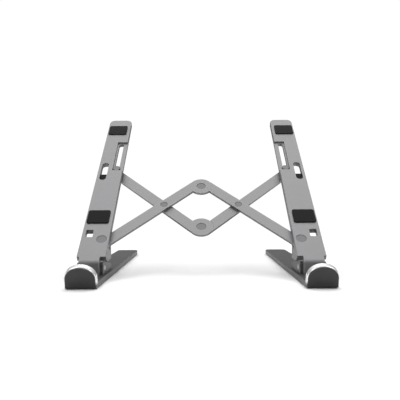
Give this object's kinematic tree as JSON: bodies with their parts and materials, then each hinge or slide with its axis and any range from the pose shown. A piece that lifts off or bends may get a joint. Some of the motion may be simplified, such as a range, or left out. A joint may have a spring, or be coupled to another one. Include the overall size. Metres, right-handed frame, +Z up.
{
  "type": "folding laptop stand",
  "caption": "Folding laptop stand: two hinged rails with rubber pads, legs with rounded front lips, joined by a flat scissor of riveted arms.",
  "frame": {"origin": "centre of the footprint on the desk, opened at the steepest tilt", "axes": "+X to the right, +Y away from the user along the legs, +Z up"},
  "size_m": [0.204, 0.2484, 0.1565],
  "materials": {
    "anodised": "satin anodised space grey",
    "rivet": "satin flush rivet heads",
    "steel": "turned steel axle",
    "rubber": "matte black silicone rubber",
    "nylon": "plain nylon washer"
  },
  "bodies": {
    "left_leg": {"left_leg": "anodised", "left_leg_feet": "rubber", "left_lip_cap": "rubber", "left_lip_liner": "rubber", "left_hinge_axle": "steel", "left_hinge_washers": "nylon"},
    "left_rail": {"left_rail": "anodised", "left_front_pad": "rubber", "left_rear_pad": "rubber", "left_slot_plug": "rubber", "left_pivot_rivet": "rivet", "left_pivot_washer": "nylon"},
    "left_upper_arm": {"left_upper_arm": "anodised", "left_cross_rivet": "rivet", "left_cross_washer": "nylon", "rear_centre_rivet": "rivet"},
    "left_lower_arm": {"left_lower_arm": "anodised", "left_slide_pin": "rivet", "left_slide_spacer": "nylon", "front_centre_rivet": "rivet"},
    "right_leg": {"right_leg": "anodised", "right_leg_feet": "rubber", "right_lip_cap": "rubber", "right_lip_liner": "rubber", "right_hinge_axle": "steel", "right_hinge_washers": "nylon"},
    "right_rail": {"right_rail": "anodised", "right_front_pad": "rubber", "right_rear_pad": "rubber", "right_slot_plug": "rubber", "right_pivot_rivet": "rivet", "right_pivot_washer": "nylon"},
    "right_upper_arm": {"right_upper_arm": "anodised", "right_cross_rivet": "rivet", "right_cross_washer": "nylon"},
    "right_lower_arm": {"right_lower_arm": "anodised", "right_slide_pin": "rivet", "right_slide_spacer": "nylon"}
  },
  "joints": [
    {"name": "left_tilt", "type": "hinge", "parent": "left_leg", "child": "left_rail", "pos_m": [-0.09, -0.07232, 0.01], "axis": [1, 0, 0], "range_deg": [-40.5, 0]},
    {"name": "fold", "type": "hinge", "parent": "left_rail", "child": "left_upper_arm", "pos_m": [-0.0844, -0.0628, 0.02857], "axis": [0, -0.6502, 0.7597], "range_deg": [0, 44.06]},
    {"name": "left_cross", "type": "hinge", "parent": "left_upper_arm", "child": "left_lower_arm", "pos_m": [-0.03448, -0.02461, 0.06126], "axis": [0, -0.6502, 0.7597], "range_deg": [-88.12, 0]},
    {"name": "centre", "type": "hinge", "parent": "left_upper_arm", "child": "right_upper_arm", "pos_m": [0, -0.00407, 0.07884], "axis": [0, -0.6502, 0.7597], "range_deg": [-88.12, 0]},
    {"name": "right_cross", "type": "hinge", "parent": "right_upper_arm", "child": "right_lower_arm", "pos_m": [0.03448, -0.02461, 0.06126], "axis": [0, -0.6502, 0.7597], "range_deg": [0, 88.12]},
    {"name": "right_pivot", "type": "hinge", "parent": "right_upper_arm", "child": "right_rail", "pos_m": [0.0844, -0.0628, 0.02857], "axis": [0, -0.6502, 0.7597], "range_deg": [0, 44.07]},
    {"name": "right_tilt", "type": "hinge", "parent": "right_rail", "child": "right_leg", "pos_m": [0.09, -0.07232, 0.01], "axis": [1, 0, 0], "range_deg": [0, 40.51]}
  ],
  "couplings": [
    {"joint": "left_cross", "follows": "fold", "ratio": -2},
    {"joint": "centre", "follows": "fold", "ratio": -2},
    {"joint": "right_cross", "follows": "fold", "ratio": 2},
    {"joint": "right_pivot", "follows": "fold", "ratio": 1},
    {"joint": "right_tilt", "follows": "left_tilt", "ratio": -1}
  ]
}
